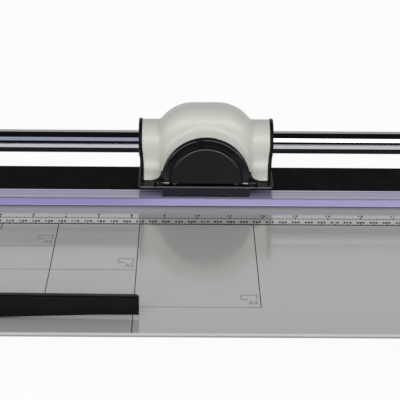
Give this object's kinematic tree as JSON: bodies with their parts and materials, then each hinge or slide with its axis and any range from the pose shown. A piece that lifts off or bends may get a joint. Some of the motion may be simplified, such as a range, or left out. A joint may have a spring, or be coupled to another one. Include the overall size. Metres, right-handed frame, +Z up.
{
  "type": "rolling paper cutter",
  "caption": "Flat-bed rolling paper cutter: cutting head with a hinged round blade guard on a chrome rail, clear clamp bar, ruled table and sliding backstop.",
  "frame": {"origin": "bottom centre of the whole object's box, on the plane the rubber feet stand on", "axes": "+X along the cut to the right, +Y to the rear, +Z up"},
  "size_m": [0.7, 0.32, 0.1029],
  "materials": {
    "table_grey": "satin grey paint with a printed scale",
    "frame_grey": "satin grey paint",
    "frame_black": "black paint",
    "beam_black": "fine-grained black paint",
    "knife_steel": "ground steel",
    "screw_steel": "zinc-plated steel",
    "dark_screw": "blackened steel",
    "rubber_black": "black rubber",
    "grip_clear": "translucent violet-grey soft plastic",
    "bracket_black": "black moulded plastic",
    "shell_cream": "warm off-white moulded plastic",
    "rail_chrome": "polished chrome",
    "spring_steel": "spring steel",
    "fence_aluminium": "anodised aluminium",
    "clamp_violet": "clear violet-tinted acrylic",
    "head_black": "black moulded plastic",
    "bush_white": "white low-friction plastic",
    "shoe_grey": "dark blue-grey plastic",
    "holder_steel": "bent steel",
    "blade_steel": "ground and polished steel",
    "hub_dark": "dark plastic",
    "sleeve_bronze": "sintered bronze",
    "guard_black": "black moulded plastic",
    "panel_dark": "satin dark-grey plastic",
    "stop_black": "black moulded plastic"
  },
  "bodies": {
    "base": {"table_top": "table_grey", "front_bar": "frame_grey", "left_bar": "frame_grey", "right_bar": "frame_grey", "left_cross_bar": "frame_black", "right_cross_bar": "frame_black", "rear_beam": "beam_black", "fixed_knife": "knife_steel", "knife_screws": "screw_steel", "front_left_foot": "rubber_black", "front_right_foot": "rubber_black", "rear_left_foot": "rubber_black", "rear_right_foot": "rubber_black", "foot_screws": "screw_steel", "left_bracket": "bracket_black", "right_bracket": "bracket_black", "bracket_screws": "screw_steel", "left_end_cover": "shell_cream", "right_end_cover": "shell_cream", "end_cover_screws": "dark_screw", "rail": "rail_chrome", "rail_plugs": "screw_steel", "rail_bolts": "screw_steel", "left_buffer": "rubber_black", "right_buffer": "rubber_black", "left_clamp_spring": "spring_steel", "right_clamp_spring": "spring_steel", "side_fence": "fence_aluminium", "fence_screws": "screw_steel"},
    "clamp": {"clamp_bar": "clamp_violet", "clamp_grip": "grip_clear"},
    "head": {"head_chassis": "head_black", "head_cover": "shell_cream", "left_bush": "bush_white", "right_bush": "bush_white", "press_shoe": "shoe_grey", "shoe_screws": "screw_steel", "axle_holder": "holder_steel", "holder_screws": "screw_steel", "wheel_axle": "screw_steel", "spring_washer": "spring_steel", "axle_spacer": "screw_steel", "axle_nut": "screw_steel", "hinge_pins": "screw_steel", "cover_screws": "screw_steel"},
    "cutter": {"cutter_wheel": "blade_steel", "wheel_hub": "hub_dark", "hub_ring": "hub_dark", "hub_sleeve": "sleeve_bronze", "hub_screws": "screw_steel"},
    "guard": {"blade_guard": "guard_black", "guard_panel": "panel_dark"},
    "backstop": {"backstop_arm": "stop_black", "clamping_bolt": "screw_steel"},
    "knob": {"backstop_knob": "stop_black"}
  },
  "joints": [
    {"name": "head_slide", "type": "slide", "parent": "base", "child": "head", "axis": [1, 0, 0], "range_m": [-0.262, 0.25]},
    {"name": "wheel_spin", "type": "hinge", "parent": "head", "child": "cutter", "pos_m": [0.006, 0.09, 0.051], "axis": [0, 1, 0], "continuous": true},
    {"name": "guard_hinge", "type": "hinge", "parent": "head", "child": "guard", "pos_m": [0.006, 0.0704, 0.0478], "axis": [1, 0, 0], "range_deg": [0, 90]},
    {"name": "clamp_press", "type": "slide", "parent": "base", "child": "clamp", "axis": [0, 0, 1], "range_m": [-0.001, 0], "stiffness_N_per_m": 1000, "springref_m": 0.003, "deforming": ["left_clamp_spring", "right_clamp_spring"]},
    {"name": "backstop_slide", "type": "slide", "parent": "base", "child": "backstop", "axis": [0, 1, 0], "range_m": [0, 0.14]},
    {"name": "knob_turn", "type": "hinge", "parent": "backstop", "child": "knob", "pos_m": [-0.267, -0.1375, 0.055], "axis": [0, 0, 1], "range_deg": [0, 360]}
  ],
  "couplings": [
    {"joint": "wheel_spin", "follows": "head_slide", "rad_per_m": 44.444}
  ]
}
